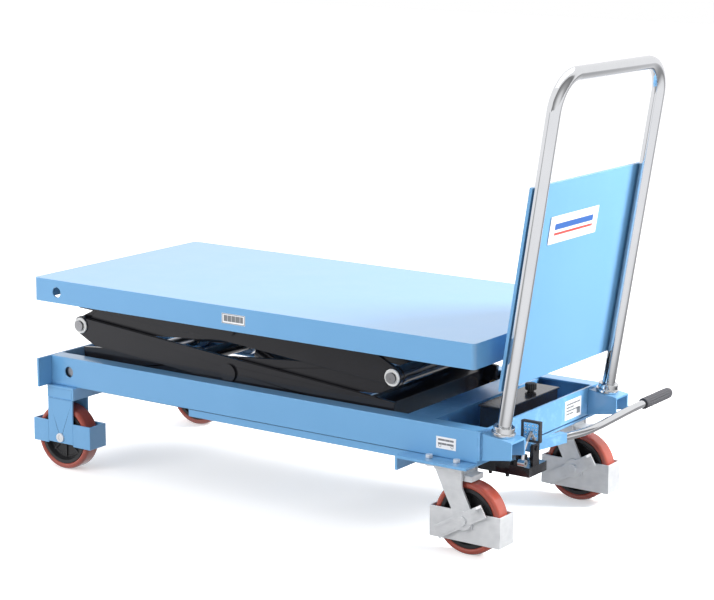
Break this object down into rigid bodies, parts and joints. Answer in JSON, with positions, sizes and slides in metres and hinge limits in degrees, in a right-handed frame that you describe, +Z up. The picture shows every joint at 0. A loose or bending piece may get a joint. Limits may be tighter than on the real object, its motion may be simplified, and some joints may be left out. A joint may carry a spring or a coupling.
{
  "type": "scissor lift table",
  "caption": "Mobile double scissor lift table: steel platform on a two-stage scissor, rail frame with fixed wheels and braked casters, push handle, foot pump and ram.",
  "frame": {"origin": "Middle of the whole box in X and Y, on the floor in Z, with the scissor folded down.", "axes": "+X from the fixed-wheel end to the handle, +Y across the table to the side that the foot lever points to, +Z up."},
  "size_m": [1.4062, 0.719, 1.037],
  "materials": {
    "blue_paint": "light blue powder coat, semi-gloss, slight orange peel",
    "black_paint": "black semi-gloss enamel",
    "chrome": "bright chrome plate",
    "zinc_plate": "bright zinc plate, fine brushing",
    "turned_steel": "turned bare steel, oiled",
    "bronze": "sintered bronze bush",
    "black_plastic": "moulded black nylon",
    "black_rubber": "matt dark rubber",
    "red_polyurethane": "translucent red-brown polyurethane, satin"
  },
  "bodies": {
    "frame": {"side_rails": "blue_paint", "end_plates": "blue_paint", "front_wheel_beam": "blue_paint", "rear_caster_beam": "blue_paint", "rear_cross_beam": "blue_paint", "ram_cradle": "blue_paint", "base_pivot_pins": "black_paint", "front_wheel_forks": "blue_paint", "front_toe_guards": "blue_paint", "front_axles": "zinc_plate", "frame_bolts": "zinc_plate", "handle_brackets": "blue_paint", "handle_collars": "chrome", "push_handle": "chrome", "handle_panel": "blue_paint", "oil_tank": "black_paint", "tank_cap": "black_plastic", "pump_block": "black_paint", "oil_hose": "black_rubber", "caster_top_plates": "zinc_plate"},
    "lower_outer_arm_pair": {"lower_outer_arms": "black_paint", "lower_cross_box": "black_paint", "lower_arm_bushes": "bronze"},
    "lower_inner_arm_pair": {"lower_inner_arms": "black_paint", "lower_cross_tubes": "black_paint", "lower_pivot_pins": "black_paint", "lower_roller_shaft": "turned_steel"},
    "lower_roller_pair": {"lower_rollers": "turned_steel"},
    "upper_inner_arm_pair": {"upper_inner_arms": "black_paint", "upper_cross_tube": "black_paint", "upper_pivot_pins": "black_paint"},
    "upper_outer_arm_pair": {"upper_outer_arms": "black_paint", "upper_arm_bushes": "bronze", "upper_roller_shaft": "turned_steel"},
    "upper_roller_pair": {"upper_rollers": "turned_steel"},
    "platform": {"deck": "blue_paint", "deck_ribs": "blue_paint", "roller_tracks": "blue_paint"},
    "ram_cylinder": {"ram_barrel": "black_paint"},
    "ram_piston": {"ram_rod": "chrome"},
    "foot_lever": {"lever_socket": "blue_paint", "lever_tube": "chrome", "lever_grip": "black_rubber"},
    "pump_plunger": {"pump_piston": "chrome"},
    "release": {"release_pedal": "chrome", "release_pad": "black_rubber"},
    "left_caster": {"left_caster_fork": "zinc_plate", "left_caster_guard": "zinc_plate"},
    "right_caster": {"right_caster_fork": "zinc_plate", "right_caster_guard": "zinc_plate"},
    "left_caster_wheel": {"left_caster_tyre": "red_polyurethane", "left_caster_core": "black_plastic"},
    "right_caster_wheel": {"right_caster_tyre": "red_polyurethane", "right_caster_core": "black_plastic"},
    "left_brake": {"left_brake_pedal": "zinc_plate"},
    "right_brake": {"right_brake_pedal": "zinc_plate"},
    "left_front_wheel": {"left_front_tyre": "red_polyurethane", "left_front_core": "black_plastic"},
    "right_front_wheel": {"right_front_tyre": "red_polyurethane", "right_front_core": "black_plastic"}
  },
  "joints": [
    {"name": "lift", "type": "hinge", "parent": "frame", "child": "lower_outer_arm_pair", "pos_m": [0.29393, -0.0445, 0.2408], "axis": [0, 1, 0], "range_deg": [0, 36]},
    {"name": "lower_scissor", "type": "hinge", "parent": "lower_outer_arm_pair", "child": "lower_inner_arm_pair", "pos_m": [-0.15307, -0.0445, 0.2941], "axis": [0, 1, 0], "range_deg": [-72.5, 0]},
    {"name": "middle_pivot", "type": "hinge", "parent": "lower_outer_arm_pair", "child": "upper_inner_arm_pair", "pos_m": [-0.60007, -0.0445, 0.3474], "axis": [0, 1, 0], "range_deg": [-72.5, 0]},
    {"name": "upper_scissor", "type": "hinge", "parent": "upper_inner_arm_pair", "child": "upper_outer_arm_pair", "pos_m": [-0.15307, -0.0445, 0.4007], "axis": [0, 1, 0], "range_deg": [0, 72.5]},
    {"name": "platform_pivot", "type": "hinge", "parent": "upper_inner_arm_pair", "child": "platform", "pos_m": [0.29532, -0.0445, 0.4407], "axis": [0, 1, 0], "range_deg": [0, 36.5]},
    {"name": "lower_roller_spin", "type": "hinge", "parent": "lower_inner_arm_pair", "child": "lower_roller_pair", "pos_m": [-0.60007, -0.0445, 0.2408], "axis": [0, 1, 0], "continuous": true},
    {"name": "upper_roller_spin", "type": "hinge", "parent": "upper_outer_arm_pair", "child": "upper_roller_pair", "pos_m": [-0.60145, -0.0445, 0.4407], "axis": [0, 1, 0], "continuous": true},
    {"name": "ram_tilt", "type": "hinge", "parent": "frame", "child": "ram_cylinder", "pos_m": [-0.04107, -0.0445, 0.2178], "axis": [0, 1, 0], "range_deg": [0, 49.3]},
    {"name": "ram_stroke", "type": "slide", "parent": "ram_cylinder", "child": "ram_piston", "axis": [-0.9116, 0, 0.4111], "range_m": [0, 0.0666]},
    {"name": "pump_lever", "type": "hinge", "parent": "frame", "child": "foot_lever", "pos_m": [0.58593, -0.1845, 0.222], "axis": [1, 0, 0], "range_deg": [-20, 0]},
    {"name": "pump_stroke", "type": "slide", "parent": "frame", "child": "pump_plunger", "axis": [0, 0, 1], "range_m": [-0.0145, 0]},
    {"name": "release_pedal_press", "type": "hinge", "parent": "frame", "child": "release", "pos_m": [0.59793, -0.2285, 0.198], "axis": [1, 0, 0], "range_deg": [0, 10]},
    {"name": "left_caster_swivel", "type": "hinge", "parent": "frame", "child": "left_caster", "pos_m": [0.46393, -0.2875, 0.194], "axis": [0, 0, 1], "continuous": true},
    {"name": "left_caster_roll", "type": "hinge", "parent": "left_caster", "child": "left_caster_wheel", "pos_m": [0.51093, -0.2875, 0.08], "axis": [0, 1, 0], "continuous": true},
    {"name": "left_brake_press", "type": "hinge", "parent": "left_caster", "child": "left_brake", "pos_m": [0.51093, -0.2875, 0.08], "axis": [0, 1, 0], "range_deg": [0, 14]},
    {"name": "left_front_roll", "type": "hinge", "parent": "frame", "child": "left_front_wheel", "pos_m": [-0.61707, -0.2995, 0.08], "axis": [0, 1, 0], "continuous": true},
    {"name": "right_caster_swivel", "type": "hinge", "parent": "frame", "child": "right_caster", "pos_m": [0.46393, 0.1985, 0.194], "axis": [0, 0, 1], "continuous": true},
    {"name": "right_caster_roll", "type": "hinge", "parent": "right_caster", "child": "right_caster_wheel", "pos_m": [0.51093, 0.1985, 0.08], "axis": [0, 1, 0], "continuous": true},
    {"name": "right_brake_press", "type": "hinge", "parent": "right_caster", "child": "right_brake", "pos_m": [0.51093, 0.1985, 0.08], "axis": [0, 1, 0], "range_deg": [0, 14]},
    {"name": "right_front_roll", "type": "hinge", "parent": "frame", "child": "right_front_wheel", "pos_m": [-0.61707, 0.2105, 0.08], "axis": [0, 1, 0], "continuous": true}
  ],
  "couplings": [
    {"joint": "lower_scissor", "follows": "lift", "ratio": -2},
    {"joint": "middle_pivot", "follows": "lift", "ratio": -2},
    {"joint": "upper_scissor", "follows": "lift", "ratio": 2},
    {"joint": "platform_pivot", "follows": "lift", "ratio": 1},
    {"joint": "ram_tilt", "follows": "lift", "ratio": 1.3568},
    {"joint": "ram_stroke", "follows": "lift", "m_per_rad": 0.10447},
    {"joint": "pump_stroke", "follows": "pump_lever", "m_per_rad": 0.039}
  ]
}
